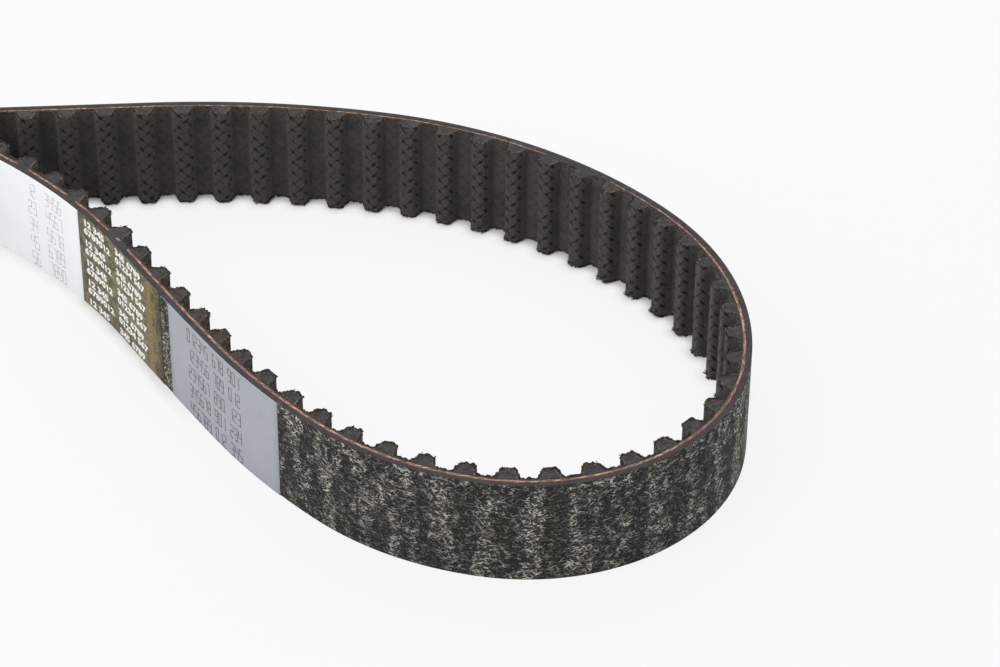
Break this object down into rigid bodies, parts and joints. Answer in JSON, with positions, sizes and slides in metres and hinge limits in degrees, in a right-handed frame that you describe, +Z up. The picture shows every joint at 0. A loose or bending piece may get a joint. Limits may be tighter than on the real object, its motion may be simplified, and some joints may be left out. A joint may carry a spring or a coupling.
{
  "type": "timing belt",
  "caption": "Endless toothed timing belt standing on one cut edge in a loose two-lobed loop, with fabric-faced teeth inside, smooth rubber back and plain printed bands.",
  "frame": {"origin": "middle of the loop's footprint, on the surface that the belt stands on", "axes": "+X along the loop's long way, +Y towards the long rear strand, +Z up, along the belt's width"},
  "size_m": [0.3366, 0.1302, 0.022],
  "materials": {
    "backing_rubber": "matt black rubber with short pale fibres, ground smooth",
    "bonding_rubber": "matt dark blue-grey where it is cut",
    "treated_cord": "twisted glass cord, red-brown dip with paler cut strands",
    "tooth_rubber": "matt dark blue-grey where it is cut",
    "facing_fabric": "dark rubber-soaked twill with a tan thread along the edge",
    "grey_print": "silver-grey film",
    "gold_print": "worn olive-gold film",
    "white_print": "plain white film"
  },
  "bodies": {
    "root": {"backing_rubber": "backing_rubber", "cord_ply": "bonding_rubber", "s_cord_runs": "treated_cord", "z_cord_runs": "treated_cord", "tooth_cores": "tooth_rubber", "facing_fabric": "facing_fabric", "grey_label": "grey_print", "gold_print_band": "gold_print", "white_label": "white_print"}
  },
  "joints": []
}
